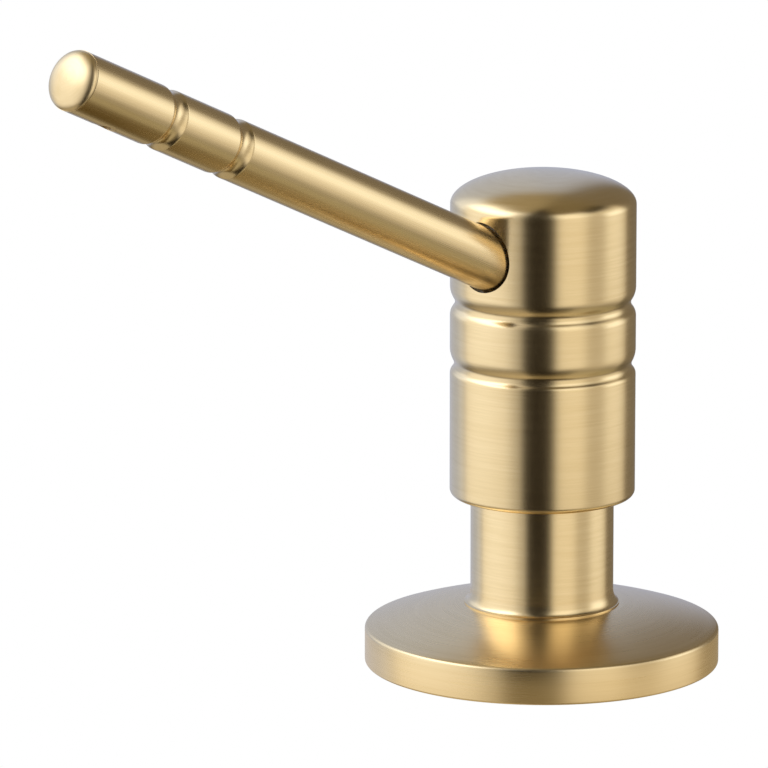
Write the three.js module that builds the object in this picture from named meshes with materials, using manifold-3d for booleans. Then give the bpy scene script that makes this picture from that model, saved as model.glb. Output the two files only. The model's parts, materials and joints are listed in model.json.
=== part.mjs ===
// Deck-mounted soap pump: flange, stem, lift-out pump cartridge, and a swivelling head with a long
// straight spout. Millimetres, +Z up. The origin is where the pump axis meets the worktop, and the
// spout points towards -Y.
import * as THREE from "three";
import { mergeVertices } from "three/addons/utils/BufferGeometryUtils.js";
import Module from "manifold-3d";

const wasm = await Module();
wasm.setup();

// ---------------------------------------------------------------- driving dimensions

const STROKE = 13;                 // travel of the head from rest to pressed
const FLANGE_RADIUS = 28.75;
const FLANGE_RIM = 6.1;            // height of the flange at its edge
const FLANGE_CROWN = 9.9;          // height of the flange under the stem's foot
const STEM_RADIUS = 11.6;
const STEM_TOP = 36;
const HEAD_RADIUS = 15;
const HEAD_BOTTOM = 27.8;
const HEAD_SHOULDER = 75.75;       // where the straight side ends and the domed top begins
const HEAD_TOP = 80.95;
const LOWER_GROOVE_Z = 49.6;
const UPPER_GROOVE_Z = 59.7;
const SPOUT_RADIUS = 4.82;
const SPOUT_ANGLE = THREE.MathUtils.degToRad(24.4);   // above horizontal
const SPOUT_AXIS_Z = 62.4;         // where the spout axis crosses the pump axis
const SPOUT_LENGTH = 119.2;        // from the pump axis to the tip, along the spout
const SPOUT_GROOVES_FROM_TIP = [21.5, 37.5];
const CYLINDER_BORE = 6;
const SPRING_SEAT_Z = 10;
const PISTON_BOTTOM = 30;
const PISTON_TOP = 38;
const ROD_RADIUS = 4;
const ROD_TOP = 62;

const FIT = 0.08;                  // radial running clearance
const SEAT = 0.05;                 // gap between pieces that rest on each other
const PRESS = 0.1;                 // gap round a piece that is fixed in its place
const SEAL_FIT = 0.03;             // radial clearance of a seal against what slides past it

const FINE = 36;                   // sides of the large turned pieces
const PLAIN = 24;                  // sides of the small turned pieces
const SMALL = 16;                  // sides of the smallest pieces

// ---------------------------------------------------------------- colours and finishes

const BRASS = { color: 0xc9a86a, roughness: 0.32, metalness: 1 };
const STEEL = { color: 0xb8babd, roughness: 0.3, metalness: 1 };
const WHITE_PLASTIC = { color: 0xe9e8e2, roughness: 0.5, metalness: 0 };
const CLEAR_PLASTIC = { color: 0xdfe4e4, roughness: 0.35, metalness: 0 };
const BLACK_RUBBER = { color: 0x1d1d1f, roughness: 0.8, metalness: 0 };

// ---------------------------------------------------------------- geometry helpers

const point = (radius, z) => new THREE.Vector2(radius, z);

// Points of a rounded corner between two angles in degrees, about a centre in the profile plane.
function arc(centreRadius, centreZ, radius, fromDegrees, toDegrees, steps = 3) {
  const points = [];
  for (let i = 0; i <= steps; i += 1) {
    const angle = THREE.MathUtils.degToRad(fromDegrees + ((toDegrees - fromDegrees) * i) / steps);
    points.push(point(centreRadius + radius * Math.cos(angle), centreZ + radius * Math.sin(angle)));
  }
  return points;
}

// Points of a quarter ellipse from a rim up to the axis.
function dome(rimRadius, rimZ, topZ, steps) {
  const points = [];
  for (let i = 0; i < steps; i += 1) {
    const angle = ((i / steps) * Math.PI) / 2;
    points.push(point(rimRadius * Math.cos(angle), rimZ + (topZ - rimZ) * Math.sin(angle)));
  }
  return [...points, point(0, topZ)];
}

// Points of a hollow curve that rises from a flat rim to an upright side, as a quarter ellipse.
function cove(rimRadius, rimZ, wide, tall, steps = 4) {
  const points = [];
  for (let i = 0; i <= steps; i += 1) {
    const angle = ((i / steps) * Math.PI) / 2;
    const radius = rimRadius - wide * Math.sin(angle);
    points.push(point(radius, rimZ + tall * (1 - Math.cos(angle))));
  }
  return points;
}

// Points of a shallow bow from one profile point to another, which stands up by the given height.
function bow(from, to, height, steps = 3) {
  const points = [];
  for (let i = 0; i <= steps; i += 1) {
    const share = i / steps;
    const lift = 4 * height * share * (1 - share);
    points.push(from.clone().lerp(to, share).add(point(0, lift)));
  }
  return points;
}

// A geometry that keeps only positions, with shared vertices merged and flat triangles dropped.
function merged(geometry) {
  const bare = geometry.clone();
  bare.deleteAttribute("normal");
  bare.deleteAttribute("uv");
  const joined = mergeVertices(bare, 1e-4);
  const kept = [];
  for (let i = 0; i < joined.index.count; i += 3) {
    const [a, b, c] = [0, 1, 2].map((corner) => joined.index.getX(i + corner));
    if (a !== b && b !== c && c !== a) kept.push(a, b, c);
  }
  joined.setIndex(kept);
  return joined;
}

// Turns a profile of (radius, z) points about the Z axis. A ring's profile runs anticlockwise in
// the (radius, z) plane and is closed here; a solid's profile runs from the axis to the axis.
function turned(profile, sides = PLAIN) {
  const onAxis = profile[0].x === 0 && profile[profile.length - 1].x === 0;
  const outline = onAxis ? profile : [...profile, profile[0].clone()];
  return merged(new THREE.LatheGeometry(outline, sides).rotateX(Math.PI / 2));
}

const rod = (radius, bottom, top, sides = PLAIN) =>
  turned([point(0, bottom), point(radius, bottom), point(radius, top), point(0, top)], sides);

const sleeve = (innerRadius, outerRadius, bottom, top, sides = PLAIN) =>
  turned(
    [
      point(innerRadius, bottom),
      point(outerRadius, bottom),
      point(outerRadius, top),
      point(innerRadius, top),
    ],
    sides,
  );

// A round-section ring about the Z axis.
const ring = (middleRadius, sectionRadius, z, sides = PLAIN, sectionSides = 6) =>
  turned(
    arc(middleRadius, z, sectionRadius, 0, 360 - 360 / sectionSides, sectionSides - 1),
    sides,
  );

function toSolid(geometry) {
  return new wasm.Manifold(
    new wasm.Mesh({
      numProp: 3,
      vertProperties: new Float32Array(geometry.attributes.position.array),
      triVerts: new Uint32Array(geometry.index.array),
    }),
  );
}

function fromSolid(solid) {
  const mesh = solid.getMesh();
  const geometry = new THREE.BufferGeometry();
  geometry.setAttribute("position", new THREE.BufferAttribute(new Float32Array(mesh.vertProperties), 3));
  geometry.setIndex(new THREE.BufferAttribute(new Uint32Array(mesh.triVerts), 1));
  return geometry;
}

const cut = (geometry, cutters) =>
  fromSolid(cutters.reduce((solid, cutter) => solid.subtract(toSolid(cutter)), toSolid(geometry)));

// ---------------------------------------------------------------- the spout's own frame

// Inside this frame +Z runs out along the spout from the pump axis, and -Y looks down at the sink.
const spoutFrame = new THREE.Group();
spoutFrame.position.z = SPOUT_AXIS_Z;
spoutFrame.rotation.x = Math.PI / 2 - SPOUT_ANGLE;
spoutFrame.updateMatrix();

const alongSpout = (geometry) => geometry.clone().applyMatrix4(spoutFrame.matrix);

// ---------------------------------------------------------------- assembly

const dispenser = new THREE.Group();

function addPiece(name, geometry, finish, parent = dispenser) {
  const shown = geometry.toNonIndexed();
  shown.computeVertexNormals();
  const mesh = new THREE.Mesh(shown, new THREE.MeshStandardMaterial(finish));
  mesh.name = name;
  parent.add(mesh);
  return mesh;
}

// ---------------------------------------------------------------- base

const SPIGOT_RADIUS = 10.6;
const SPIGOT_BOTTOM = 0.3;
const SOCKET_RADIUS = 8.4;         // takes the shank that comes up through the worktop
const SOCKET_TOP = 8;
const STEM_BORE = 7.8;
const FOOT_BOTTOM = FLANGE_CROWN + PRESS;
const FOOT_FLARE = 1;
const FOOT_COVE_HEIGHT = 2;
const FOOT_RADIUS = STEM_RADIUS + FOOT_FLARE;
const FOOT_EDGE = 0.1;
const GASKET_INNER = 14;
const GASKET_OUTER = 24;
const GASKET_RECESS = 1.2;
const RING_SECTION = 0.5;
const RING_GROOVE_Z = 3.6;
const RING_GROOVE_HALF = 0.65;
const RING_GROOVE_RADIUS = 9.6;

function deckFlange() {
  const topEdge = 0.7;
  const bottomEdge = 0.4;
  const topBulge = 0.4;
  const bore = SPIGOT_RADIUS + PRESS;
  return turned(
    [
      point(GASKET_OUTER, 0),
      ...arc(FLANGE_RADIUS - bottomEdge, bottomEdge, bottomEdge, -90, 0, 1),
      ...arc(FLANGE_RADIUS - topEdge, FLANGE_RIM - topEdge, topEdge, 0, 60, 2),
      ...bow(
        point(FLANGE_RADIUS - topEdge, FLANGE_RIM),
        point(FOOT_RADIUS, FLANGE_CROWN),
        topBulge,
      ),
      point(bore, FLANGE_CROWN),
      point(bore, 0),
      point(GASKET_INNER, 0),
      point(GASKET_INNER, GASKET_RECESS),
      point(GASKET_OUTER, GASKET_RECESS),
    ],
    FINE,
  );
}

function stemBody() {
  const topEdge = 0.6;
  return turned(
    [
      point(SOCKET_RADIUS, SPIGOT_BOTTOM),
      point(SPIGOT_RADIUS, SPIGOT_BOTTOM),
      point(SPIGOT_RADIUS, RING_GROOVE_Z - RING_GROOVE_HALF),
      point(RING_GROOVE_RADIUS, RING_GROOVE_Z - RING_GROOVE_HALF),
      point(RING_GROOVE_RADIUS, RING_GROOVE_Z + RING_GROOVE_HALF),
      point(SPIGOT_RADIUS, RING_GROOVE_Z + RING_GROOVE_HALF),
      point(SPIGOT_RADIUS, FOOT_BOTTOM),
      point(FOOT_RADIUS, FOOT_BOTTOM),
      ...cove(FOOT_RADIUS, FOOT_BOTTOM + FOOT_EDGE, FOOT_FLARE, FOOT_COVE_HEIGHT),
      ...arc(STEM_RADIUS - topEdge, STEM_TOP - topEdge, topEdge, 0, 90, 2),
      point(STEM_BORE, STEM_TOP),
      point(STEM_BORE, SOCKET_TOP),
      point(SOCKET_RADIUS, SOCKET_TOP),
    ],
    FINE,
  );
}

addPiece("deck_flange", deckFlange(), BRASS);
addPiece("stem_body", stemBody(), BRASS);
addPiece(
  "deck_gasket",
  sleeve(GASKET_INNER + PRESS, GASKET_OUTER - PRESS, 0, GASKET_RECESS - PRESS, FINE),
  BLACK_RUBBER,
);
addPiece(
  "flange_o_ring",
  ring(RING_GROOVE_RADIUS + RING_SECTION + SEAT, RING_SECTION, RING_GROOVE_Z),
  BLACK_RUBBER,
);

// ---------------------------------------------------------------- pump cartridge

const CYLINDER_WALL = 1.2;
const CYLINDER_OUTER = CYLINDER_BORE + CYLINDER_WALL;
const CYLINDER_FLOOR = 8.5;
const CYLINDER_TOP = 38.2;
const CYLINDER_FLANGE_BOTTOM = 36.7;
const CYLINDER_FLANGE_RADIUS = 9.6;
const BARB_BOTTOM = 2.5;
const BARB_ROOT = 2.2;
const BARB_CREST = 2.7;
const BARB_COUNT = 2;
const INTAKE_BORE = 1.5;
const INTAKE_CONE_TOP = 2.3;       // radius of the ball seat's cone where it meets the floor
const CAP_RADIUS = 10.9;
const CAP_TOP = 40.6;
const WIPER_SEAT_Z = 39.1;
const WIPER_OUTER = 5.4;
const CAGE_RADIUS = 3.9;
const CAGE_BORE = 3;
const CAGE_TOP = 15.6;
const CAGE_ROOF = 14.9;
const CAGE_HOLE = 1.4;
const CAP_EDGE = 0.5;
const SUCTION_BALL_RADIUS = 2.5;
const VALVE_GAP = 0.02;            // a resting ball stands this far off its seat

// Height of a ball's centre when it rests in a 45 degree cone of the given small end.
const restingBallZ = (ballRadius, coneRadius, coneBottom) =>
  coneBottom - coneRadius + ballRadius * Math.SQRT2 + VALVE_GAP;

const INTAKE_CONE_BOTTOM = SPRING_SEAT_Z - (INTAKE_CONE_TOP - INTAKE_BORE);

function pumpCylinder() {
  const barbPitch = (CYLINDER_FLOOR - BARB_BOTTOM) / (BARB_COUNT + 1);
  const barbs = [point(BARB_ROOT, BARB_BOTTOM)];
  for (let i = 0; i < BARB_COUNT; i += 1) {
    const crest = BARB_BOTTOM + barbPitch * (i + 1);
    barbs.push(point(BARB_CREST, crest));
    barbs.push(point(BARB_ROOT, crest));
  }
  return turned([
    point(INTAKE_BORE, BARB_BOTTOM),
    ...barbs,
    point(BARB_ROOT, CYLINDER_FLOOR),
    point(CYLINDER_OUTER, CYLINDER_FLOOR),
    point(CYLINDER_OUTER, CYLINDER_FLANGE_BOTTOM),
    point(CYLINDER_FLANGE_RADIUS, CYLINDER_FLANGE_BOTTOM),
    point(CYLINDER_FLANGE_RADIUS, CYLINDER_TOP),
    point(CYLINDER_BORE, CYLINDER_TOP),
    point(CYLINDER_BORE, SPRING_SEAT_Z),
    point(INTAKE_CONE_TOP, SPRING_SEAT_Z),
    point(INTAKE_BORE, INTAKE_CONE_BOTTOM),
  ]);
}

function cylinderCap() {
  const rodHole = ROD_RADIUS + FIT;
  return turned([
    point(rodHole, CYLINDER_TOP + SEAT),
    point(CYLINDER_FLANGE_RADIUS + PRESS, CYLINDER_TOP + SEAT),
    point(CYLINDER_FLANGE_RADIUS + PRESS, CYLINDER_FLANGE_BOTTOM + SEAT),
    point(CAP_RADIUS, CYLINDER_FLANGE_BOTTOM + SEAT),
    ...arc(CAP_RADIUS - CAP_EDGE, CAP_TOP - CAP_EDGE, CAP_EDGE, 0, 90, 2),
    point(WIPER_OUTER + PRESS, CAP_TOP),
    point(WIPER_OUTER + PRESS, WIPER_SEAT_Z),
    point(rodHole, WIPER_SEAT_Z),
  ]);
}

function intakeCage() {
  const crown = turned([
    point(CAGE_BORE, SPRING_SEAT_Z + SEAT),
    point(CAGE_RADIUS, SPRING_SEAT_Z + SEAT),
    point(CAGE_RADIUS, CAGE_TOP),
    point(CAGE_HOLE, CAGE_TOP),
    point(CAGE_HOLE, CAGE_ROOF),
    point(CAGE_BORE, CAGE_ROOF),
  ], SMALL);
  const portWidth = 1.8;
  const portHeight = 2.6;
  const port = new THREE.BoxGeometry(3 * CAGE_RADIUS, portWidth, portHeight);
  port.translate(0, 0, (SPRING_SEAT_Z + CAGE_TOP) / 2);
  const crossPort = port.clone().rotateZ(Math.PI / 2);
  return cut(crown, [merged(port), merged(crossPort)]);
}

const CLOSED_PITCH = 1.08;         // rise of an end turn, in wire diameters

// A coil spring whose first and last turns lie flat against their seats.
class CoilCurve extends THREE.Curve {
  constructor(radius, bottom, top, turns, wire) {
    super();
    Object.assign(this, { radius, bottom, top, turns, wire });
  }

  getPoint(t, target = new THREE.Vector3()) {
    const turn = t * this.turns;
    const endRise = this.wire * CLOSED_PITCH;
    const openRise = this.top - this.bottom - 2 * endRise;
    let z = this.bottom + endRise + (openRise * (turn - 1)) / (this.turns - 2);
    if (turn < 1) z = this.bottom + endRise * turn;
    if (turn > this.turns - 1) z = this.top - endRise * (this.turns - turn);
    const angle = turn * 2 * Math.PI;
    return target.set(this.radius * Math.cos(angle), this.radius * Math.sin(angle), z);
  }
}

function returnSpring() {
  const wire = 0.9;
  const turns = 6.5;
  const middleRadius = 4.9;
  const stepsPerTurn = 12;
  const wireSides = 6;
  const clear = wire / 2 + SEAT;
  const path = new CoilCurve(middleRadius, SPRING_SEAT_Z + clear, PISTON_BOTTOM - clear, turns, wire);
  const section = new THREE.Shape(
    new THREE.EllipseCurve(0, 0, wire / 2, wire / 2).getPoints(wireSides).slice(0, wireSides),
  );
  const coil = new THREE.ExtrudeGeometry(section, {
    extrudePath: path,
    steps: turns * stepsPerTurn,
    bevelEnabled: false,
  });
  return merged(coil);
}

const ball = (radius, z) => merged(new THREE.SphereGeometry(radius, 12, 8).translate(0, 0, z));

addPiece("pump_cylinder", pumpCylinder(), CLEAR_PLASTIC);
addPiece("cylinder_cap", cylinderCap(), WHITE_PLASTIC);
addPiece(
  "rod_wiper",
  sleeve(ROD_RADIUS + FIT / 2, WIPER_OUTER, WIPER_SEAT_Z + SEAT, CAP_TOP - PRESS, PLAIN),
  BLACK_RUBBER,
);
addPiece(
  "collar_washer",
  sleeve(STEM_BORE + PRESS, CAP_RADIUS, STEM_TOP + SEAT, CYLINDER_FLANGE_BOTTOM - SEAT),
  BLACK_RUBBER,
);
addPiece("intake_cage", intakeCage(), WHITE_PLASTIC);
addPiece("return_spring", returnSpring(), STEEL);
addPiece(
  "suction_ball",
  ball(SUCTION_BALL_RADIUS, restingBallZ(SUCTION_BALL_RADIUS, INTAKE_BORE, INTAKE_CONE_BOTTOM)),
  STEEL,
);

// ---------------------------------------------------------------- piston and rod

const PISTON_RADIUS = CYLINDER_BORE - PRESS;
const SEAL_GROOVE_BOTTOM = 31.5;
const SEAL_GROOVE_TOP = 33.3;
const SEAL_GROOVE_RADIUS = 4.9;
const DISCHARGE_BORE = 1.3;
const DISCHARGE_CONE_BOTTOM = 31.2;
const DISCHARGE_BALL_RADIUS = 2;
const CHAMBER_RADIUS = 2.5;
const KEEPER_RADIUS = 3;
const KEEPER_BOTTOM = 35.8;
const KEEPER_TOP = 36.5;
const ROD_SPIGOT_RADIUS = 3.2;
const ROD_SPIGOT_BOTTOM = 36.65;
const ROD_BORE = 2.3;
const COLLAR_BOTTOM = CAP_TOP + STROKE + 0.6;   // stops just above the cap when pressed
const COLLAR_TOP = 55.6;
const COLLAR_RADIUS = 5.2;
const THRUST_WASHER_RADIUS = 6.2;
const THRUST_WASHER_TOP = 56.35;
const SNAP_RING_BOTTOM = 57.8;
const SNAP_RING_TOP = 58.6;
const SNAP_RING_INNER = 3.45;
const SNAP_RING_OUTER = 4.7;
const SNAP_RING_GAP = 2.4;
const ROD_RING_Z = 60.2;
const ROD_RING_SECTION = 0.42;
const GROOVE_HALF = 0.55;

function pistonHead() {
  const chamberFloor = DISCHARGE_CONE_BOTTOM + CHAMBER_RADIUS - DISCHARGE_BORE;
  return turned([
    point(DISCHARGE_BORE, PISTON_BOTTOM),
    point(PISTON_RADIUS, PISTON_BOTTOM),
    point(PISTON_RADIUS, SEAL_GROOVE_BOTTOM),
    point(SEAL_GROOVE_RADIUS, SEAL_GROOVE_BOTTOM),
    point(SEAL_GROOVE_RADIUS, SEAL_GROOVE_TOP),
    point(PISTON_RADIUS, SEAL_GROOVE_TOP),
    point(PISTON_RADIUS, PISTON_TOP),
    point(ROD_SPIGOT_RADIUS + SEAT, PISTON_TOP),
    point(ROD_SPIGOT_RADIUS + SEAT, KEEPER_BOTTOM),
    point(CHAMBER_RADIUS, KEEPER_BOTTOM),
    point(CHAMBER_RADIUS, chamberFloor),
    point(DISCHARGE_BORE, DISCHARGE_CONE_BOTTOM),
  ]);
}

function valveKeeper() {
  const disc = rod(KEEPER_RADIUS, KEEPER_BOTTOM + SEAT, KEEPER_TOP, SMALL);
  const holes = [];
  const holeCount = 3;
  const holeRadius = 0.7;
  const holeCircle = 1.7;
  const holeSides = 10;
  for (let i = 0; i < holeCount; i += 1) {
    const angle = (i * 2 * Math.PI) / holeCount;
    const hole = rod(holeRadius, KEEPER_BOTTOM - 1, KEEPER_TOP + 1, holeSides);
    holes.push(hole.translate(holeCircle * Math.cos(angle), holeCircle * Math.sin(angle), 0));
  }
  return cut(disc, holes);
}

function pistonRod() {
  const snapGroove = SNAP_RING_INNER - PRESS;
  const ringGroove = ROD_RADIUS - 2 * ROD_RING_SECTION;
  return turned([
    point(ROD_BORE, ROD_SPIGOT_BOTTOM),
    point(ROD_SPIGOT_RADIUS, ROD_SPIGOT_BOTTOM),
    point(ROD_SPIGOT_RADIUS, PISTON_TOP + SEAT),
    point(ROD_RADIUS, PISTON_TOP + SEAT),
    point(ROD_RADIUS, COLLAR_BOTTOM),
    point(COLLAR_RADIUS, COLLAR_BOTTOM),
    point(COLLAR_RADIUS, COLLAR_TOP),
    point(ROD_RADIUS, COLLAR_TOP),
    point(ROD_RADIUS, SNAP_RING_BOTTOM - PRESS),
    point(snapGroove, SNAP_RING_BOTTOM - PRESS),
    point(snapGroove, SNAP_RING_TOP + PRESS),
    point(ROD_RADIUS, SNAP_RING_TOP + PRESS),
    point(ROD_RADIUS, ROD_RING_Z - GROOVE_HALF),
    point(ringGroove, ROD_RING_Z - GROOVE_HALF),
    point(ringGroove, ROD_RING_Z + GROOVE_HALF),
    point(ROD_RADIUS, ROD_RING_Z + GROOVE_HALF),
    point(ROD_RADIUS, ROD_TOP),
    point(ROD_BORE, ROD_TOP),
  ]);
}

// An open flat ring with a gap on one side, as cut from spring steel.
function openRing(innerRadius, outerRadius, bottom, top, gap, sides) {
  const whole = sleeve(innerRadius, outerRadius, bottom, top, sides);
  const slot = new THREE.BoxGeometry(gap, outerRadius * 2, (top - bottom) * 4);
  slot.translate(0, outerRadius, (bottom + top) / 2);
  return cut(whole, [merged(slot)]);
}

addPiece("piston_head", pistonHead(), WHITE_PLASTIC);
addPiece(
  "piston_seal",
  sleeve(
    SEAL_GROOVE_RADIUS + SEAT,
    CYLINDER_BORE - SEAL_FIT,
    SEAL_GROOVE_BOTTOM + SEAT,
    SEAL_GROOVE_TOP - SEAT,
  ),
  BLACK_RUBBER,
);
addPiece("valve_keeper", valveKeeper(), WHITE_PLASTIC);
addPiece("piston_rod", pistonRod(), STEEL);
addPiece(
  "thrust_washer",
  sleeve(ROD_RADIUS + PRESS, THRUST_WASHER_RADIUS, COLLAR_TOP + SEAT, THRUST_WASHER_TOP),
  WHITE_PLASTIC,
);
addPiece(
  "rod_o_ring",
  ring(ROD_RADIUS - ROD_RING_SECTION + SEAL_FIT, ROD_RING_SECTION, ROD_RING_Z),
  BLACK_RUBBER,
);
addPiece(
  "swivel_snap_ring",
  openRing(SNAP_RING_INNER, SNAP_RING_OUTER, SNAP_RING_BOTTOM, SNAP_RING_TOP, SNAP_RING_GAP, PLAIN),
  STEEL,
);
addPiece(
  "discharge_ball",
  ball(DISCHARGE_BALL_RADIUS, restingBallZ(DISCHARGE_BALL_RADIUS, DISCHARGE_BORE, DISCHARGE_CONE_BOTTOM)),
  STEEL,
);

// ---------------------------------------------------------------- head

const SHELL_BORE = 12.9;
const SHELL_CEILING = 74.5;
const INSERT_RADIUS = SHELL_BORE - PRESS;
const INSERT_BOTTOM = 56.4;
const INSERT_TOP = SHELL_CEILING - 2 * PRESS;
const CIRCLIP_BOTTOM = 55.2;
const CIRCLIP_TOP = 56.2;
const CIRCLIP_GROOVE = 13.6;
const SPOUT_HOLE = SPOUT_RADIUS + 4 * PRESS;
const SPOUT_START = 5.2;
const SPOUT_BORE = 3.6;
const LINER_BORE = 2.5;
const CHANNEL_RADIUS = 2.4;
const SPOUT_RING_PLACES = [7, 11];
const SPOUT_RING_SECTION = 0.36;
const SPOUT_RING_GROOVE = SPOUT_RADIUS - 0.6;
const PLUG_HEAD_START = 117.5;
const PLUG_SPIGOT_START = 112.5;
const NOZZLE_PLACE = 108.5;
const NOZZLE_RADIUS = 2;
const NOZZLE_BORE = 1.2;
const NOZZLE_INNER_END = 2.7;      // from the spout's axis
const NOZZLE_OUTER_END = 4.5;      // just inside the tube's surface
const SCREW_PLACE = -10.2;
const SCREW_RADIUS = 1.45;
const SCREW_BOTTOM = 57;
const SCREW_TOP = 61.2;
const LOWER_GROOVE = { below: 1.7, above: 2.6, depth: 0.66, floor: 1.4 };
const UPPER_GROOVE = { below: 2.2, above: 2.7, depth: 0.8, floor: 1.4 };
const SPOUT_GROOVE = { below: 1.9, above: 1.9, depth: 0.5, floor: 3 };
const CIRCLIP_INNER = 11.4;
const CIRCLIP_GAP = 6;
const WEAR_RING_BOTTOM = 29.2;
const WEAR_RING_TOP = 34.4;

// A turned groove as profile points from its lower edge to its upper: a round floor between two
// rounded shoulders. It reaches the given distances below and above its valley.
function turnedGroove(surfaceRadius, valley, { below, above, depth, floor }) {
  const shoulder = (reach) => {
    const slope = 2 * Math.atan(depth / reach);
    return { radius: reach / Math.sin(slope) - floor, degrees: THREE.MathUtils.radToDeg(slope) };
  };
  const lower = shoulder(below);
  const upper = shoulder(above);
  const floorCentre = surfaceRadius - depth + floor;
  return [
    ...arc(surfaceRadius - lower.radius, valley - below, lower.radius, 0, lower.degrees, 1),
    ...arc(floorCentre, valley, floor, 180 + lower.degrees, 180 - upper.degrees, 2).slice(1),
    ...arc(surfaceRadius - upper.radius, valley + above, upper.radius, -upper.degrees, 0, 2).slice(1),
  ];
}

function headShell() {
  const skirtEdge = 1;
  const domeSteps = 7;
  const profile = [
    point(SHELL_BORE, HEAD_BOTTOM),
    ...arc(HEAD_RADIUS - skirtEdge, HEAD_BOTTOM + skirtEdge, skirtEdge, -90, 0, 2),
    ...turnedGroove(HEAD_RADIUS, LOWER_GROOVE_Z, LOWER_GROOVE),
    ...turnedGroove(HEAD_RADIUS, UPPER_GROOVE_Z, UPPER_GROOVE),
    ...dome(HEAD_RADIUS, HEAD_SHOULDER, HEAD_TOP, domeSteps),
  ];
  const hollow = turned([
    point(0, HEAD_BOTTOM - 1),
    point(SHELL_BORE, HEAD_BOTTOM - 1),
    point(SHELL_BORE, CIRCLIP_BOTTOM - PRESS),
    point(CIRCLIP_GROOVE, CIRCLIP_BOTTOM - PRESS),
    point(CIRCLIP_GROOVE, CIRCLIP_TOP + PRESS),
    point(SHELL_BORE, CIRCLIP_TOP + PRESS),
    point(SHELL_BORE, SHELL_CEILING),
    point(0, SHELL_CEILING),
  ], FINE);
  const solid = turned([point(0, HEAD_BOTTOM), ...profile], FINE);
  const spoutHole = alongSpout(rod(SPOUT_HOLE, HEAD_RADIUS / 2, HEAD_RADIUS * 2, PLAIN));
  return cut(solid, [hollow, spoutHole]);
}

function headInsert() {
  const rodBore = ROD_RADIUS + FIT;
  const ringPocket = SNAP_RING_OUTER + PRESS;
  const boreEnd = ROD_TOP + 4 * PRESS;
  const blank = turned([
    point(0, boreEnd),
    point(rodBore, boreEnd),
    point(rodBore, SNAP_RING_TOP + PRESS),
    point(ringPocket, SNAP_RING_TOP + PRESS),
    point(ringPocket, SNAP_RING_BOTTOM - PRESS),
    point(rodBore, SNAP_RING_BOTTOM - PRESS),
    point(rodBore, INSERT_BOTTOM),
    point(INSERT_RADIUS, INSERT_BOTTOM),
    point(INSERT_RADIUS, INSERT_TOP),
    point(0, INSERT_TOP),
  ]);
  const spoutSeat = rod(SPOUT_RADIUS + PRESS, SPOUT_START - SEAT, 2 * HEAD_RADIUS);
  const channel = rod(CHANNEL_RADIUS, -0.5, SPOUT_START, SMALL);
  const screwHole = rod(SCREW_RADIUS + PRESS, INSERT_BOTTOM - 1, SCREW_TOP + 1, SMALL);
  screwHole.translate(0, SCREW_PLACE, 0);
  return cut(blank, [alongSpout(spoutSeat), alongSpout(channel), screwHole]);
}

// A spring ring that closes the head's cavity under the insert.
const insertCirclip = () =>
  openRing(CIRCLIP_INNER, CIRCLIP_GROOVE - PRESS, CIRCLIP_BOTTOM, CIRCLIP_TOP, CIRCLIP_GAP, FINE);

function grubScrew() {
  const pointRadius = 0.7;
  const pointLength = 0.9;
  const keyRadius = 0.85;
  const keyDepth = 1.5;
  const screw = turned([
    point(0, SCREW_BOTTOM),
    point(SCREW_RADIUS, SCREW_BOTTOM),
    point(SCREW_RADIUS, SCREW_TOP - pointLength),
    point(pointRadius, SCREW_TOP),
    point(0, SCREW_TOP),
  ], SMALL);
  const key = rod(keyRadius, SCREW_BOTTOM - keyDepth, SCREW_BOTTOM + keyDepth, 6);
  return cut(screw, [key]).translate(0, SCREW_PLACE, 0);
}

// ---------------------------------------------------------------- spout, in its own frame

function outletHole(radius) {
  const hole = rod(radius, 0, 2 * SPOUT_RADIUS, SMALL);
  return hole.rotateX(Math.PI / 2).translate(0, 0, NOZZLE_PLACE);
}

function spoutTube() {
  const sealGrooves = SPOUT_RING_PLACES.flatMap((place) => [
    point(SPOUT_RADIUS, place - SPOUT_RING_SECTION - SEAT),
    point(SPOUT_RING_GROOVE, place - SPOUT_RING_SECTION - SEAT),
    point(SPOUT_RING_GROOVE, place + SPOUT_RING_SECTION + SEAT),
    point(SPOUT_RADIUS, place + SPOUT_RING_SECTION + SEAT),
  ]);
  const turnedGrooves = [...SPOUT_GROOVES_FROM_TIP]
    .sort((a, b) => b - a)
    .flatMap((place) => turnedGroove(SPOUT_RADIUS, SPOUT_LENGTH - place, SPOUT_GROOVE));
  const tube = turned([
    point(SPOUT_BORE, SPOUT_START),
    point(SPOUT_RADIUS, SPOUT_START),
    ...sealGrooves,
    ...turnedGrooves,
    point(SPOUT_RADIUS, PLUG_HEAD_START - SEAT),
    point(SPOUT_BORE, PLUG_HEAD_START - SEAT),
  ]);
  return cut(tube, [outletHole(NOZZLE_RADIUS + SEAT)]);
}

function spoutLiner() {
  const bottom = SPOUT_START + SEAT;
  const top = PLUG_SPIGOT_START - PRESS;
  const liner = sleeve(LINER_BORE, SPOUT_BORE - PRESS, bottom, top, SMALL);
  return cut(liner, [outletHole(NOZZLE_RADIUS + SEAT)]);
}

// The closed end of the spout: a spigot inside the tube and a shallow dome outside it.
function spoutEndPlug() {
  return turned([
    point(0, PLUG_SPIGOT_START),
    point(SPOUT_BORE - PRESS, PLUG_SPIGOT_START),
    point(SPOUT_BORE - PRESS, PLUG_HEAD_START),
    ...dome(SPOUT_RADIUS, PLUG_HEAD_START, SPOUT_LENGTH, 4),
  ]);
}

function outletNozzle() {
  const nozzle = sleeve(NOZZLE_BORE, NOZZLE_RADIUS, NOZZLE_INNER_END, NOZZLE_OUTER_END, SMALL);
  return nozzle.rotateX(Math.PI / 2).translate(0, 0, NOZZLE_PLACE);
}

const spoutRing = (place) =>
  ring(SPOUT_RING_GROOVE + SPOUT_RING_SECTION, SPOUT_RING_SECTION - SEAT / 2, place);

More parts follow.
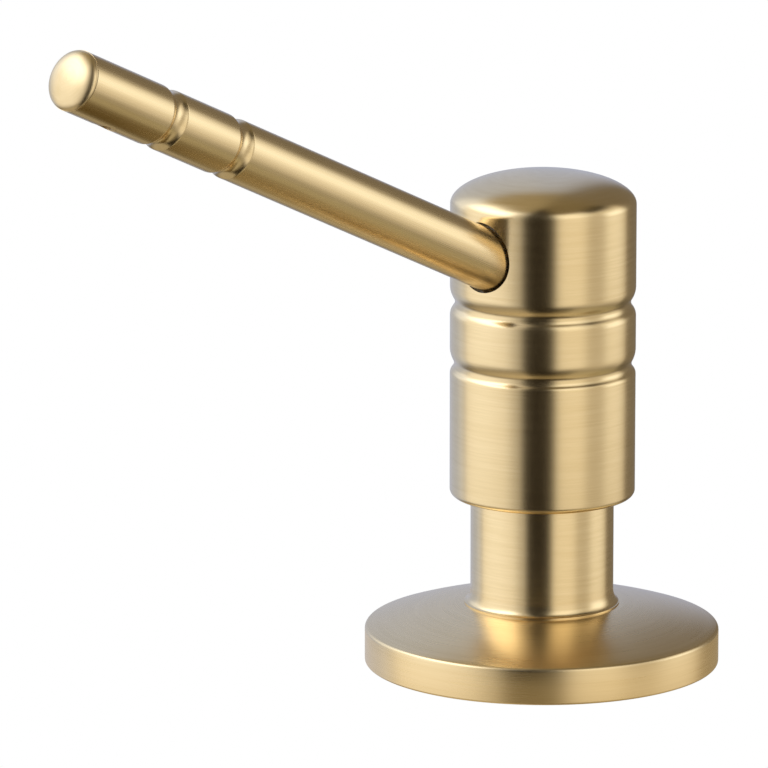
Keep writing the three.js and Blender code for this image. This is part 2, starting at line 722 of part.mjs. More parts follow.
addPiece("head_shell", headShell(), BRASS);
addPiece("head_insert", headInsert(), WHITE_PLASTIC);
addPiece("insert_circlip", insertCirclip(), STEEL);
addPiece(
  "skirt_wear_ring",
  sleeve(STEM_RADIUS + FIT, SHELL_BORE - PRESS, WEAR_RING_BOTTOM, WEAR_RING_TOP, FINE),
  WHITE_PLASTIC,
);
addPiece("spout_grub_screw", grubScrew(), STEEL);

dispenser.add(spoutFrame);
addPiece("spout_tube", spoutTube(), BRASS, spoutFrame);
addPiece("spout_end_plug", spoutEndPlug(), BRASS, spoutFrame);
addPiece("spout_liner", spoutLiner(), CLEAR_PLASTIC, spoutFrame);
addPiece("outlet_nozzle", outletNozzle(), BRASS, spoutFrame);
addPiece("spout_o_ring_inner", spoutRing(SPOUT_RING_PLACES[0]), BLACK_RUBBER, spoutFrame);
addPiece("spout_o_ring_outer", spoutRing(SPOUT_RING_PLACES[1]), BLACK_RUBBER, spoutFrame);

export default dispenser;
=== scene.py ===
"""Finished look of a deck-mounted soap pump in satin brass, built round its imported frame."""

import json
import logging
import math
from dataclasses import dataclass, field
from enum import Enum
from typing import Iterable

import bmesh
import bpy
from mathutils import Matrix, Vector


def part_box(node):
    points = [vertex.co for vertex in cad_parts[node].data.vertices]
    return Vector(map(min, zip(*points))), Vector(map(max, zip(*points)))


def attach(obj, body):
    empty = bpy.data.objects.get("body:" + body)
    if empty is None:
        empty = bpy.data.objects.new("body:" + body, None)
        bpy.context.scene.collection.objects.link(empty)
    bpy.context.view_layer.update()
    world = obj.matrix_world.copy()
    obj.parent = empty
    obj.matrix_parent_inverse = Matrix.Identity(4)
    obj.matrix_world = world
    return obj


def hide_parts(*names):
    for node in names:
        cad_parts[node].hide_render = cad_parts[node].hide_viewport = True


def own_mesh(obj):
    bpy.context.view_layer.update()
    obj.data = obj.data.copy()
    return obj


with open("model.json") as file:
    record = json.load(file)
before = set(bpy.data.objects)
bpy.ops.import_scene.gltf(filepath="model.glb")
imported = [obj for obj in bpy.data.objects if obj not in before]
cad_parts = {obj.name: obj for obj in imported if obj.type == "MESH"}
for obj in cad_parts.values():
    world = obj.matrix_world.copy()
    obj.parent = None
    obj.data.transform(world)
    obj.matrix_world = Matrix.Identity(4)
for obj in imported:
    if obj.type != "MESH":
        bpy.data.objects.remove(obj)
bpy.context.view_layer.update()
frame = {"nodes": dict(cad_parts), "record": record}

LOG = logging.getLogger("soap_pump")
MM = 0.001
Corner = tuple[float, float]
Colour = tuple[float, float, float]


# ---------------------------------------------------------------- node trees as expressions


class Signal:
    """One output socket of a node tree; arithmetic on it adds Math nodes."""

    def __init__(self, board: "NodeBoard", socket: bpy.types.NodeSocket | None) -> None:
        """Wraps a socket.

        Args:
            board: The board that the socket's node stands on.
            socket: The output socket, or nothing for a tree's last node.
        """
        self.board = board
        self.socket = socket

    def _math(self, operation: str, first: "Signal | float", second: "Signal | float") -> "Signal":
        """Adds a Math node.

        Args:
            operation: The Math node's operation.
            first: The first value.
            second: The second value.

        Returns:
            The node's result.
        """
        return self.board.add("ShaderNodeMath", {"operation": operation}, {0: first, 1: second})

    def __add__(self, other: "Signal | float") -> "Signal":
        """Sum of two values."""
        return self._math("ADD", self, other)

    def __radd__(self, other: float) -> "Signal":
        """Sum with a plain number first."""
        return self._math("ADD", other, self)

    def __sub__(self, other: "Signal | float") -> "Signal":
        """Difference of two values."""
        return self._math("SUBTRACT", self, other)

    def __rsub__(self, other: float) -> "Signal":
        """Difference from a plain number."""
        return self._math("SUBTRACT", other, self)

    def __mul__(self, other: "Signal | float") -> "Signal":
        """Product of two values."""
        return self._math("MULTIPLY", self, other)

    def __rmul__(self, other: float) -> "Signal":
        """Product with a plain number first."""
        return self._math("MULTIPLY", other, self)

    def __truediv__(self, other: "Signal | float") -> "Signal":
        """Quotient of two values."""
        return self._math("DIVIDE", self, other)

    def __rtruediv__(self, other: float) -> "Signal":
        """Quotient of a plain number by this value."""
        return self._math("DIVIDE", other, self)

    def __pow__(self, other: "Signal | float") -> "Signal":
        """Power of a value."""
        return self._math("POWER", self, other)

    def __rpow__(self, other: float) -> "Signal":
        """Plain number to the power of this value."""
        return self._math("POWER", other, self)

    def __neg__(self) -> "Signal":
        """Value with its sign turned."""
        return self._math("MULTIPLY", self, -1.0)

    def arctan2(self, other: "Signal | float") -> "Signal":
        """Angle of the point (other, self), in radians."""
        return self._math("ARCTAN2", self, other)

    def arcsine(self) -> "Signal":
        """Angle whose sine is this value, in radians."""
        return self._math("ARCSINE", self, 0.0)

    def ramp(self, low: float, high: float, start: float = 0.0, end: float = 1.0) -> "Signal":
        """Smooth step from start to end as this value goes from low to high.

        Args:
            low: The value where the step begins.
            high: The value where the step ends.
            start: The result below low.
            end: The result above high.

        Returns:
            The stepped value.
        """
        return self.board.add(
            "ShaderNodeMapRange",
            {"interpolation_type": "SMOOTHSTEP"},
            {"Value": self, "From Min": low, "From Max": high, "To Min": start, "To Max": end},
        )

    def window(self, low: float, high: float, edge: float) -> "Signal":
        """One inside low to high and zero outside, with soft edges.

        Args:
            low: The lower limit.
            high: The upper limit.
            edge: Half the width of each soft edge.

        Returns:
            The window's height at this value.
        """
        return self.ramp(low - edge, low + edge) * self.ramp(high - edge, high + edge, 1.0, 0.0)


class NodeBoard:
    """A node tree that is written as expressions."""

    def __init__(self, tree: bpy.types.NodeTree) -> None:
        """Starts an empty board.

        Args:
            tree: The tree to fill; what it holds is cleared.
        """
        self.tree = tree
        tree.nodes.clear()

    def add(
        self,
        kind: str,
        settings: dict[str, object] | None = None,
        values: dict[int | str, object] | None = None,
        output: int | str = 0,
    ) -> Signal:
        """Adds one node.

        Args:
            kind: The node's type.
            settings: The node's own settings, which are set first.
            values: The values or signals of its input sockets.
            output: The output socket that is wanted.

        Returns:
            The chosen output.
        """
        node = self.tree.nodes.new(kind)
        for key, value in (settings or {}).items():
            setattr(node, key, value)
        for key, value in (values or {}).items():
            if isinstance(value, Signal):
                self.tree.links.new(value.socket, node.inputs[key])
            else:
                node.inputs[key].default_value = value
        return Signal(self, node.outputs[output] if len(node.outputs) else None)

    def mix(self, factor: "Signal | float", first: object, second: object) -> Signal:
        """Blends two colours.

        Args:
            factor: The share of the second colour.
            first: The first colour.
            second: The second colour.

        Returns:
            The blended colour.
        """
        colours = {0: factor, 6: opaque(first), 7: opaque(second)}
        return self.add("ShaderNodeMix", {"data_type": "RGBA"}, colours, 2)

    def noise(self, vector: Signal, scale: float, detail: float, roughness: float = 0.5) -> Signal:
        """Adds a noise pattern.

        Args:
            vector: Where the pattern is read.
            scale: The pattern's density.
            detail: How many finer layers it has.
            roughness: How strong the finer layers are.

        Returns:
            The pattern's height, about 0.5 on average.
        """
        return self.add(
            "ShaderNodeTexNoise",
            {},
            {"Vector": vector, "Scale": scale, "Detail": detail, "Roughness": roughness},
        )

    def vector(self, x: "Signal | float", y: "Signal | float", z: "Signal | float") -> Signal:
        """Joins three values into a vector."""
        return self.add("ShaderNodeCombineXYZ", {}, {0: x, 1: y, 2: z})

    def parts(self, vector: Signal) -> tuple[Signal, Signal, Signal]:
        """Splits a vector into its three values."""
        first = self.add("ShaderNodeSeparateXYZ", {}, {0: vector})
        outputs = first.socket.node.outputs
        return first, Signal(self, outputs[1]), Signal(self, outputs[2])


def opaque(colour: object) -> object:
    """A plain colour with full opacity; anything else is passed on.

    Args:
        colour: Three numbers, or a signal.

    Returns:
        Four numbers, or the same signal.
    """
    if isinstance(colour, tuple) and len(colour) == 3:
        return (*colour, 1.0)
    return colour


# ---------------------------------------------------------------- finishes


class Grain(Enum):
    """Which way a metal piece was brushed."""

    ROUND = "round its axis"
    ALONG = "along its axis"


@dataclass(frozen=True)
class Axis:
    """The axis that a turned piece was made on.

    Attributes:
        origin: A point on the axis, in metres.
        tilt: How far the axis leans from +Z towards -Y, in radians.
    """

    origin: tuple[float, float, float] = (0.0, 0.0, 0.0)
    tilt: float = 0.0

    def matrix(self) -> Matrix:
        """Places a shape made on +Z onto this axis."""
        return Matrix.Translation(self.origin) @ Matrix.Rotation(self.tilt, 4, "X")

    def coordinates(self, board: NodeBoard) -> Signal:
        """Object coordinates measured in this axis's own frame.

        Args:
            board: The board of the material.

        Returns:
            The coordinates as a vector.
        """
        place = board.add("ShaderNodeTexCoord", {}, {}, "Object")
        settings = {"vector_type": "TEXTURE"}
        return board.add(
            "ShaderNodeMapping",
            settings,
            {"Vector": place, "Location": self.origin, "Rotation": (self.tilt, 0.0, 0.0)},
        )


UPRIGHT = Axis()


@dataclass(frozen=True)
class BrushedBrass:
    """Satin brass with fine brush lines.

    Attributes:
        name: The material's name.
        axis: The axis the piece was turned on.
        grain: Which way it was brushed.
        roughness: The mean roughness.
        spread: How much the roughness varies from line to line.
        relief: The depth of the brush lines, in metres.
        polished: Stretches along the axis that are polished, as (low, high) in metres.
    """

    name: str
    axis: Axis = UPRIGHT
    grain: Grain = Grain.ROUND
    roughness: float = 0.235
    spread: float = 0.07
    relief: float = 1.5e-6
    polished: tuple[tuple[float, float], ...] = ()

    LIGHT = (0.880, 0.705, 0.425)
    DEEP = (0.820, 0.645, 0.370)
    FINE_LINES = 5200.0
    BROAD_LINES = 1100.0
    DRIFT = 1.3
    CLOUDS = 60.0

    def streaks(self, board: NodeBoard, place: Signal) -> tuple[Signal, Signal]:
        """Brush lines on this axis.

        Args:
            board: The board of the material.
            place: Coordinates in the axis's frame.

        Returns:
            The fine lines and the broad lines, each about 0.5 on average.
        """
        x, y, z = board.parts(place)
        reach = (x * x + y * y) ** 0.5
        east, north = x / reach, y / reach
        if self.grain is Grain.ROUND:
            across = z + reach
            fine = board.vector(east * self.DRIFT, north * self.DRIFT, across * self.FINE_LINES)
            broad = board.vector(east * self.DRIFT, north * self.DRIFT, across * self.BROAD_LINES)
        else:
            turn = self.FINE_LINES * 0.0048
            fine = board.vector(east * turn, north * turn, z * self.BROAD_LINES * 0.06)
            broad = board.vector(east * turn * 0.3, north * turn * 0.3, z * self.BROAD_LINES * 0.03)
        return board.noise(fine, 1.0, 2.0, 0.6), board.noise(broad, 1.0, 3.0, 0.5)

    def material(self) -> bpy.types.Material:
        """Builds the material.

        Returns:
            A node material.
        """
        made = bpy.data.materials.new(self.name)
        made.use_nodes = True
        board = NodeBoard(made.node_tree)
        place = self.axis.coordinates(board)
        fine, broad = self.streaks(board, place)
        clouds = board.noise(place, self.CLOUDS, 2.0)
        tone = (fine * 0.45 + broad * 0.3 + clouds * 0.25).ramp(0.34, 0.66)
        roughness = self.roughness + (fine - 0.5) * self.spread + (clouds - 0.5) * 0.06
        depth = fine * 0.7 + broad * 0.3
        if self.polished:
            along = board.parts(place)[2]
            shine = sum_of(along.window(low, high, 0.25 * MM) for low, high in self.polished)
            roughness = roughness * (1.0 - shine * 0.15)
            depth = depth * (1.0 - shine * 0.8)
        bump = board.add(
            "ShaderNodeBump", {}, {"Strength": 1.0, "Distance": self.relief, "Height": depth}
        )
        shader = board.add(
            "ShaderNodeBsdfPrincipled",
            {},
            {
                "Base Color": board.mix(tone, self.DEEP, self.LIGHT),
                "Metallic": 1.0,
                "Roughness": roughness,
                "Normal": bump,
            },
        )
        board.add("ShaderNodeOutputMaterial", {}, {"Surface": shader})
        return made


@dataclass(frozen=True)
class Moulding:
    """Moulded plastic, rubber or plain steel with a faint skin texture.

    Attributes:
        name: The material's name.
        light: The lighter of its two tones.
        deep: The darker of its two tones.
        roughness: The mean roughness.
        pitch: The density of the skin texture.
        relief: The depth of the skin texture, in metres.
        metal: One for a metal, zero for anything else.
    """

    name: str
    light: Colour
    deep: Colour
    roughness: float
    pitch: float = 2600.0
    relief: float = 4.0e-6
    metal: float = 0.0

    def material(self) -> bpy.types.Material:
        """Builds the material.

        Returns:
            A node material.
        """
        made = bpy.data.materials.new(self.name)
        made.use_nodes = True
        board = NodeBoard(made.node_tree)
        place = board.add("ShaderNodeTexCoord", {}, {}, "Object")
        skin = board.noise(place, self.pitch, 3.0)
        clouds = board.noise(place, self.pitch * 0.05, 2.0)
        bump = board.add(
            "ShaderNodeBump", {}, {"Strength": 1.0, "Distance": self.relief, "Height": skin}
        )
        shader = board.add(
            "ShaderNodeBsdfPrincipled",
            {},
            {
                "Base Color": board.mix(clouds.ramp(0.3, 0.7), self.deep, self.light),
                "Metallic": self.metal,
                "Roughness": self.roughness + (skin - 0.5) * 0.15,
                "Normal": bump,
            },
        )
        board.add("ShaderNodeOutputMaterial", {}, {"Surface": shader})
        return made


SPRING_STEEL = Moulding("spring_steel", (0.62, 0.63, 0.64), (0.5, 0.51, 0.52), 0.3, metal=1.0)


def sum_of(signals: Iterable[Signal]) -> Signal:
    """Adds up signals.

    Args:
        signals: One or more signals.

    Returns:
        Their sum.
    """
    total = None
    for signal in signals:
        total = signal if total is None else total + signal
    return total


# ---------------------------------------------------------------- turned shapes


@dataclass
class Outline:
    """A lathe profile: corners given as (radius, height) in millimetres."""

    corners: list[Corner] = field(default_factory=list)

    def to(self, radius: float, height: float) -> "Outline":
        """Draws a straight line to a corner."""
        self.corners.append((radius, height))
        return self

    def arc(
        self, centre: Corner, radius: float, start: float, end: float, steps: int = 8
    ) -> "Outline":
        """Draws an arc.

        Args:
            centre: The arc's centre.
            radius: The arc's radius.
            start: Where it starts, in degrees from the outward direction.
            end: Where it ends, in degrees.
            steps: How many straight pieces it is drawn with.

        Returns:
            This outline.
        """
        for step in range(steps + 1):
            angle = math.radians(start + (end - start) * step / steps)
            self.to(centre[0] + radius * math.cos(angle), centre[1] + radius * math.sin(angle))
        return self

    def ellipse(self, height: float, wide: float, tall: float, steps: int = 16) -> "Outline":
        """Draws a quarter ellipse from its rim to the axis.

        Args:
            height: The height of the rim.
            wide: The radius at the rim.
            tall: How far the crown rises above the rim.
            steps: How many straight pieces it is drawn with.

        Returns:
            This outline.
        """
        for step in range(steps):
            angle = math.pi / 2 * step / steps
            self.to(wide * math.cos(angle), height + tall * math.sin(angle))
        return self.to(0.0, height + tall)

    def cove(self, rim: Corner, wide: float, tall: float, steps: int = 20) -> "Outline":
        """Draws a hollow curve from a flat rim up to an upright side.

        Args:
            rim: The corner it starts from.
            wide: How far it comes in.
            tall: How far it climbs.
            steps: How many straight pieces it is drawn with.

        Returns:
            This outline.
        """
        for step in range(steps + 1):
            angle = math.pi / 2 * step / steps
            self.to(rim[0] - wide * math.sin(angle), rim[1] + tall * (1 - math.cos(angle)))
        return self

    def bow(self, radius: float, height: float, rise: float, steps: int = 16) -> "Outline":
        """Draws a shallow bow from the last corner to a new one.

        Args:
            radius: The radius at the bow's end.
            height: The height at the bow's end.
            rise: How far the bow stands up from the straight line.
            steps: How many straight pieces it is drawn with.

        Returns:
            This outline.
        """
        start_radius, start_height = self.corners[-1]
        for step in range(1, steps + 1):
            share = step / steps
            lift = 4 * rise * share * (1 - share)
            self.to(
                start_radius + (radius - start_radius) * share,
                start_height + (height - start_height) * share + lift,
            )
        return self

    def groove(self, radius: float, groove: "Groove") -> "Outline":
        """Draws a turned groove, going up.

        Args:
            radius: The radius of the plain surface.
            groove: The groove's shape and place.

        Returns:
            This outline.
        """
        lower, lower_turn = groove.shoulder(groove.below)
        upper, upper_turn = groove.shoulder(groove.above)
        middle = (radius - groove.depth + groove.floor, groove.valley)
        self.arc((radius - lower, groove.valley - groove.below), lower, 0, lower_turn)
        self.arc(middle, groove.floor, 180 + lower_turn, 180 - upper_turn, 14)
        return self.arc((radius - upper, groove.valley + groove.above), upper, -upper_turn, 0)


@dataclass(frozen=True)
class Groove:
    """A turned groove: a round floor between two rounded shoulders, in millimetres.

    Attributes:
        valley: The height of its deepest line.
        below: How far it reaches below the valley.
        above: How far it reaches above the valley.
        depth: How deep it is.
        floor: The radius of its floor.
    """

    valley: float
    below: float
    above: float
    depth: float
    floor: float

    def shoulder(self, reach: float) -> tuple[float, float]:
        """Works out one shoulder.

        Args:
            reach: The distance from the valley to where the shoulder ends.

        Returns:
            The shoulder's radius, and how far it turns in degrees.
        """
        turn = 2 * math.atan(self.depth / reach)
        return reach / math.sin(turn) - self.floor, math.degrees(turn)


class Workshop:
    """Makes meshes from outlines and puts them in the scene."""

    SHARP = math.radians(32)

    @staticmethod
    def turn(outline: Outline, closed: bool, steps: int, axis: Axis = UPRIGHT) -> bmesh.types.BMesh:
        """Spins an outline round its axis.

        Args:
            outline: The profile.
            closed: Whether the profile's last corner joins its first.
            steps: How many sides the turned shape has.
            axis: Where the shape's axis is.

        Returns:
            The turned shape.
        """
        shape = bmesh.new()
        corners = [
            shape.verts.new((radius * MM, 0.0, height * MM)) for radius, height in outline.corners
        ]
        pairs = list(zip(corners, corners[1:]))
        if closed:
            pairs.append((corners[-1], corners[0]))
        edges = [shape.edges.new(pair) for pair in pairs]
        bmesh.ops.spin(
            shape,
            geom=[*corners, *edges],
            cent=(0, 0, 0),
            axis=(0, 0, 1),
            angle=math.tau,
            steps=steps,
            use_merge=True,
        )
        bmesh.ops.remove_doubles(shape, verts=shape.verts, dist=MM * 1e-4)
        bmesh.ops.recalc_face_normals(shape, faces=shape.faces)
        bmesh.ops.transform(shape, matrix=axis.matrix(), verts=shape.verts)
        return shape

    @classmethod
    def smooth(cls, shape: bmesh.types.BMesh) -> None:
        """Makes a shape smooth but for its sharp edges.

        Args:
            shape: The shape to mark.
        """
        for face in shape.faces:
            face.smooth = True
        for edge in shape.edges:
            edge.smooth = len(edge.link_faces) == 2 and edge.calc_face_angle(0.0) < cls.SHARP

    @classmethod
    def piece(cls, name: str, shape: bmesh.types.BMesh) -> bpy.types.Object:
        """Turns a shape into an object, smooth but for its sharp edges.

        Args:
            name: The piece's name.
            shape: The finished shape, which is freed.

        Returns:
            The new object.
        """
        cls.smooth(shape)
        mesh = bpy.data.meshes.new(name)
        shape.to_mesh(mesh)
        shape.free()
        made = bpy.data.objects.new(name, mesh)
        bpy.context.scene.collection.objects.link(made)
        return made

    @classmethod
    def bored(
        cls, blank: bpy.types.Object, cutter: bmesh.types.BMesh, within: bool = False
    ) -> bpy.types.Object:
        """Cuts a piece with a closed shape.

        Args:
            blank: The piece to cut.
            cutter: The closed shape, which is freed.
            within: Keeps what lies inside the shape, in place of what lies outside.

        Returns:
            The cut piece.
        """
        tool = cls.piece(f"{blank.name}_tool", cutter)
        modifier = blank.modifiers.new("bore", "BOOLEAN")
        modifier.operation = "INTERSECT" if within else "DIFFERENCE"
        modifier.solver = "EXACT"
        modifier.object = tool
        depsgraph = bpy.context.evaluated_depsgraph_get()
        cut = bpy.data.meshes.new_from_object(blank.evaluated_get(depsgraph))
        blank.modifiers.clear()
        blank.data = cut
        bpy.data.objects.remove(tool)
        return cls.resmoothed(blank)

    @classmethod
    def resmoothed(cls, piece: bpy.types.Object) -> bpy.types.Object:
        """Marks a cut piece's sharp edges again.

        Args:
            piece: The piece whose mesh was cut.

        Returns:
            The same piece.
        """
        shape = bmesh.new()
        shape.from_mesh(piece.data)
        bmesh.ops.remove_doubles(shape, verts=shape.verts, dist=MM * 1e-4)
        cls.smooth(shape)
        shape.to_mesh(piece.data)
        shape.free()
        return piece

    @staticmethod
    def rod(
        radius: float, bottom: float, top: float, steps: int, axis: Axis = UPRIGHT
    ) -> bmesh.types.BMesh:
        """A plain round bar.

        Args:
            radius: The bar's radius in millimetres.
            bottom: Where it starts along its axis, in millimetres.
            top: Where it ends.
            steps: How many sides it has.
            axis: Where its axis is.

        Returns:
            The bar.
        """
        outline = Outline().to(0, bottom).to(radius, bottom).to(radius, top).to(0, top)
        return Workshop.turn(outline, False, steps, axis)


def dress(
    piece: bpy.types.Object, material: bpy.types.Material, body: str, slot: str, *nodes: str
) -> None:
    """Finishes a piece and ties it to the frame.

    Args:
        piece: The piece, in place.
        material: Its finish.
        body: The CAD body that it moves with.
        slot: The record's material slot; not used.
        nodes: The CAD nodes that it stands for.
    """
    piece.data.materials.clear()
    piece.data.materials.append(material)
    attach(piece, body)
    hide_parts(*nodes)
    LOG.info("%s rides on %s, %d faces", piece.name, body, len(piece.data.polygons))


def millimetres(node: str) -> tuple[Vector, Vector]:
    """The lowest and highest corner of a CAD node, in millimetres."""
    low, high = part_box(node)
    return low / MM, high / MM


# ---------------------------------------------------------------- sub-assemblies


@dataclass
class DeckBase:
    """The flange and stem that stand on the worktop.

    Attributes:
        steps: How many sides the turned pieces have.
        flange_edge: The radius of the flange's top edge.
        flange_heel: The radius of the flange's bottom edge.
        rim_height: The flange's height at its edge.
        bulge: How far the flange's top bows up between its edge and the stem.
        bore: The radius of the flange's hole.
        recess: The inner and outer radius of the gasket's recess.
        recess_depth: The depth of the gasket's recess.
        stem_radius: The stem's outer radius.
        foot_flare: How far the stem's foot stands out.
        foot_height: The height of the hollow curve above the foot.
        foot_edge: The height of the foot's edge.
        spigot: The outer radius of the stem's end, which enters the flange.
        socket: The radius of the hole for the threaded shank.
        socket_top: The height where that hole ends.
        passage: The radius of the hole above it.
        rim_round: The rounding of the stem's top edge.
    """

    steps: int = 144
    flange_edge: float = 0.7
    flange_heel: float = 0.4
    rim_height: float = 6.1
    bulge: float = 0.4
    bore: float = 10.7
    recess: tuple[float, float] = (14.0, 24.0)
    recess_depth: float = 1.2
    stem_radius: float = 11.6
    foot_flare: float = 1.0
    foot_height: float = 2.0
    foot_edge: float = 0.2
    spigot: float = 10.6
    socket: float = 8.4
    socket_top: float = 8
    passage: float = 7.8
    rim_round: float = 0.6

    def flange(self) -> bpy.types.Object:
        """Makes the deck flange."""
        _, high = millimetres("deck_flange")
        rim, top, edge = high.x, high.z, self.flange_edge
        inner, outer = self.recess
        outline = (
            Outline()
            .to(outer, 0)
            .arc((rim - self.flange_heel, self.flange_heel), self.flange_heel, -90, 0, 6)
            .arc((rim - edge, self.rim_height - edge), edge, 0, 68, 10)
            .bow(self.stem_radius + self.foot_flare, top, self.bulge)
            .to(self.bore, top)
            .to(self.bore, 0)
            .to(inner, 0)
            .to(inner, self.recess_depth)
            .to(outer, self.recess_depth)
        )
        return Workshop.piece("flange", Workshop.turn(outline, True, self.steps))

    def stem(self) -> bpy.types.Object:
        """Makes the stem with its flared foot and socket."""
        low, high = millimetres("stem_body")
        _, flange_high = millimetres("deck_flange")
        foot = self.stem_radius + self.foot_flare
        foot_bottom = flange_high.z
        edge = self.rim_round
        outline = (
            Outline()
            .to(self.socket, low.z)
            .to(self.spigot, low.z)
            .to(self.spigot, foot_bottom)
            .to(foot, foot_bottom)
            .cove((foot, foot_bottom + self.foot_edge), self.foot_flare, self.foot_height)
            .arc((self.stem_radius - edge, high.z - edge), edge, 0, 90, 6)
            .to(self.passage, high.z)
            .to(self.passage, self.socket_top)
            .to(self.socket, self.socket_top)
        )
        return Workshop.piece("stem", Workshop.turn(outline, True, self.steps))

    def build(self) -> None:
        """Builds and dresses the base."""
        disc = BrushedBrass("brass_flange", roughness=0.28).material()
        column = BrushedBrass("brass_stem").material()
        dress(self.flange(), disc, "base", "brushed_brass", "deck_flange")
        dress(self.stem(), column, "base", "brushed_brass", "stem_body")


@dataclass
class Spout:
    """The long inclined spout, in its own frame: heights run along it from the pump axis.

    Attributes:
        angle: Its rise above the horizontal, in radians.
        crossing: The height at which its axis crosses the pump axis.
        radius: Its outer radius.
        length: From the pump axis to the tip.
        start: Where its inner end is.
        bore: The radius of its hole.
        grooves: How far each turned groove is from the tip.
        groove_reach: How far each groove reaches to either side of its valley.
        groove_depth: How deep each groove is.
        groove_floor: The radius of each groove's floor.
        plug: The length of the end plug's visible part.
        tip_ease: How much smaller the plug's dome is than the tube.
        outlet: How far along the outlet is.
        outlet_radius: The outlet's outer radius.
        outlet_bore: The radius of the outlet's hole.
        outlet_inner: How far from the spout's axis the outlet starts.
        outlet_steps: How many sides the outlet has.
        plug_start: Where the plug's inner end is.
        plug_fit: How much smaller the plug's shank is than the bore.
        joint: The gap between the tube's end and the plug's rim.
        polish_reach: How far the polished stretch reaches to either side of a groove's valley.
        steps: How many sides it has.
    """

    angle: float = math.radians(24.4)
    crossing: float = 62.4
    radius: float = 4.82
    length: float = 119.2
    start: float = 5.2
    bore: float = 3.6
    grooves: tuple[float, ...] = (37.5, 21.5)
    groove_reach: float = 1.9
    groove_depth: float = 0.5
    groove_floor: float = 3.0
    plug: float = 1.7
    tip_ease: float = 0.06
    outlet: float = 108.5
    outlet_radius: float = 2.0
    outlet_bore: float = 1.2
    outlet_inner: float = 2.7
    outlet_steps: int = 48
    plug_start: float = 112.5
    plug_fit: float = 0.1
    joint: float = 0.05
    polish_reach: float = 1.6
    steps: int = 96

    @property
    def axis(self) -> Axis:
        """The spout's own axis."""
        return Axis((0.0, 0.0, self.crossing * MM), math.pi / 2 - self.angle)

    def groove_places(self) -> list[float]:
        """Where the grooves are along the spout."""
        return [self.length - place for place in self.grooves]

    def tube(self) -> bpy.types.Object:
        """Makes the tube with its two turned grooves and its outlet hole."""
        end = self.length - self.plug - self.joint
        outline = Outline().to(self.bore, self.start).to(self.radius, self.start)
        reach, depth, floor = self.groove_reach, self.groove_depth, self.groove_floor
        for place in self.groove_places():
            outline.groove(self.radius, Groove(place, reach, reach, depth, floor))
        outline.to(self.radius, end).to(self.bore, end)
        tube = Workshop.piece("spout", Workshop.turn(outline, True, self.steps, self.axis))
        gap, depth = 0.03, 9.0
        hole = Workshop.rod(self.outlet_radius + gap, 0, depth, self.outlet_steps, self.down)
        return Workshop.bored(tube, hole)

    @property
    def down(self) -> Axis:
        """The outlet's own axis, square to the spout and downwards."""
        along = self.outlet * MM
        rise = math.sin(self.angle) * along + self.crossing * MM
        return Axis((0.0, -math.cos(self.angle) * along, rise), math.pi - self.angle)

    def nozzle(self) -> bpy.types.Object:
        """Makes the outlet's short tube, cut off flush with the spout's round side."""
        inner, reach = self.outlet_inner, self.radius + 2
        outline = Outline().to(self.outlet_bore, inner).to(self.outlet_radius, inner)
        outline.to(self.outlet_radius, reach).to(self.outlet_bore, reach)
        shape = Workshop.turn(outline, True, self.outlet_steps, self.down)
        tube = Workshop.piece("spout_outlet", shape)
        flush, start = self.radius - 0.04, self.length - 20
        body = Workshop.rod(flush, start, self.length, self.steps, self.axis)
        return Workshop.bored(tube, body, within=True)

    def end_plug(self) -> bpy.types.Object:
        """Makes the domed end plug."""
        rim = self.length - self.plug
        shank = self.bore - self.plug_fit
        outline = Outline().to(0, self.plug_start).to(shank, self.plug_start).to(shank, rim)
        outline.ellipse(rim, self.radius - self.tip_ease, self.plug - self.tip_ease / 2)
        return Workshop.piece("spout_tip", Workshop.turn(outline, False, self.steps, self.axis))

    def build(self) -> None:
        """Builds and dresses the spout."""
        bands = tuple(
            ((place - self.polish_reach) * MM, (place + self.polish_reach) * MM)
            for place in self.groove_places()
        )
        brass = BrushedBrass("brass_spout", self.axis, Grain.ALONG, 0.27, polished=bands).material()
        dress(self.tube(), brass, "pump_head", "brushed_brass", "spout_tube")
        soft = BrushedBrass("brass_tip", self.axis, roughness=0.32).material()
        dress(self.end_plug(), soft, "pump_head", "brushed_brass", "spout_end_plug")
        dress(self.nozzle(), soft, "pump_head", "brushed_brass", "outlet_nozzle")


@dataclass
class PumpHead:
    """The grooved cap that is pressed down.

    Attributes:
        spout: The spout whose hole it has.
        shoulder: The height where the straight side ends and the domed top begins.
        skirt: The radius of the bottom edge.
        bore: The inner radius.
        ceiling: The height of the inner ceiling.
        grooves: The turned grooves, from the lowest up.
        hole: The radius of the spout's hole.
        steps: How many sides it has.
    """

    spout: Spout
    shoulder: float = 75.75
    skirt: float = 1.0
    bore: float = 12.9
    ceiling: float = 74.5
    grooves: tuple[Groove, ...] = (
        Groove(49.6, 1.7, 2.6, 0.66, 1.4),
        Groove(59.7, 2.2, 2.7, 0.8, 1.4),
    )
    hole: float = 5.22
    steps: int = 144

    def shell(self) -> bpy.types.Object:
        """Makes the shell with its grooves and the spout's hole."""
        low, high = millimetres("head_shell")
        rim, bottom, top = high.x, low.z, high.z
        outline = (
            Outline()
            .to(self.bore + 0.3, bottom)
            .arc((rim - self.skirt, bottom + self.skirt), self.skirt, -90, 0, 8)
        )
        for groove in self.grooves:
            outline.groove(rim, groove)
        outline.ellipse(self.shoulder, rim, top - self.shoulder, 40)
        outline.to(0, self.ceiling).to(self.bore, self.ceiling).to(self.bore, bottom + 0.3)
        outline.to(self.bore + 0.3, bottom)
        shell = Workshop.piece("head", Workshop.turn(outline, False, self.steps))
        hole = Workshop.rod(self.hole, rim / 2, 2 * rim, 96, self.spout.axis)
        return Workshop.bored(shell, hole)

    def build(self) -> None:
        """Builds and dresses the head."""
        brass = BrushedBrass("brass_head").material()
        dress(self.shell(), brass, "pump_head", "brushed_brass", "head_shell")


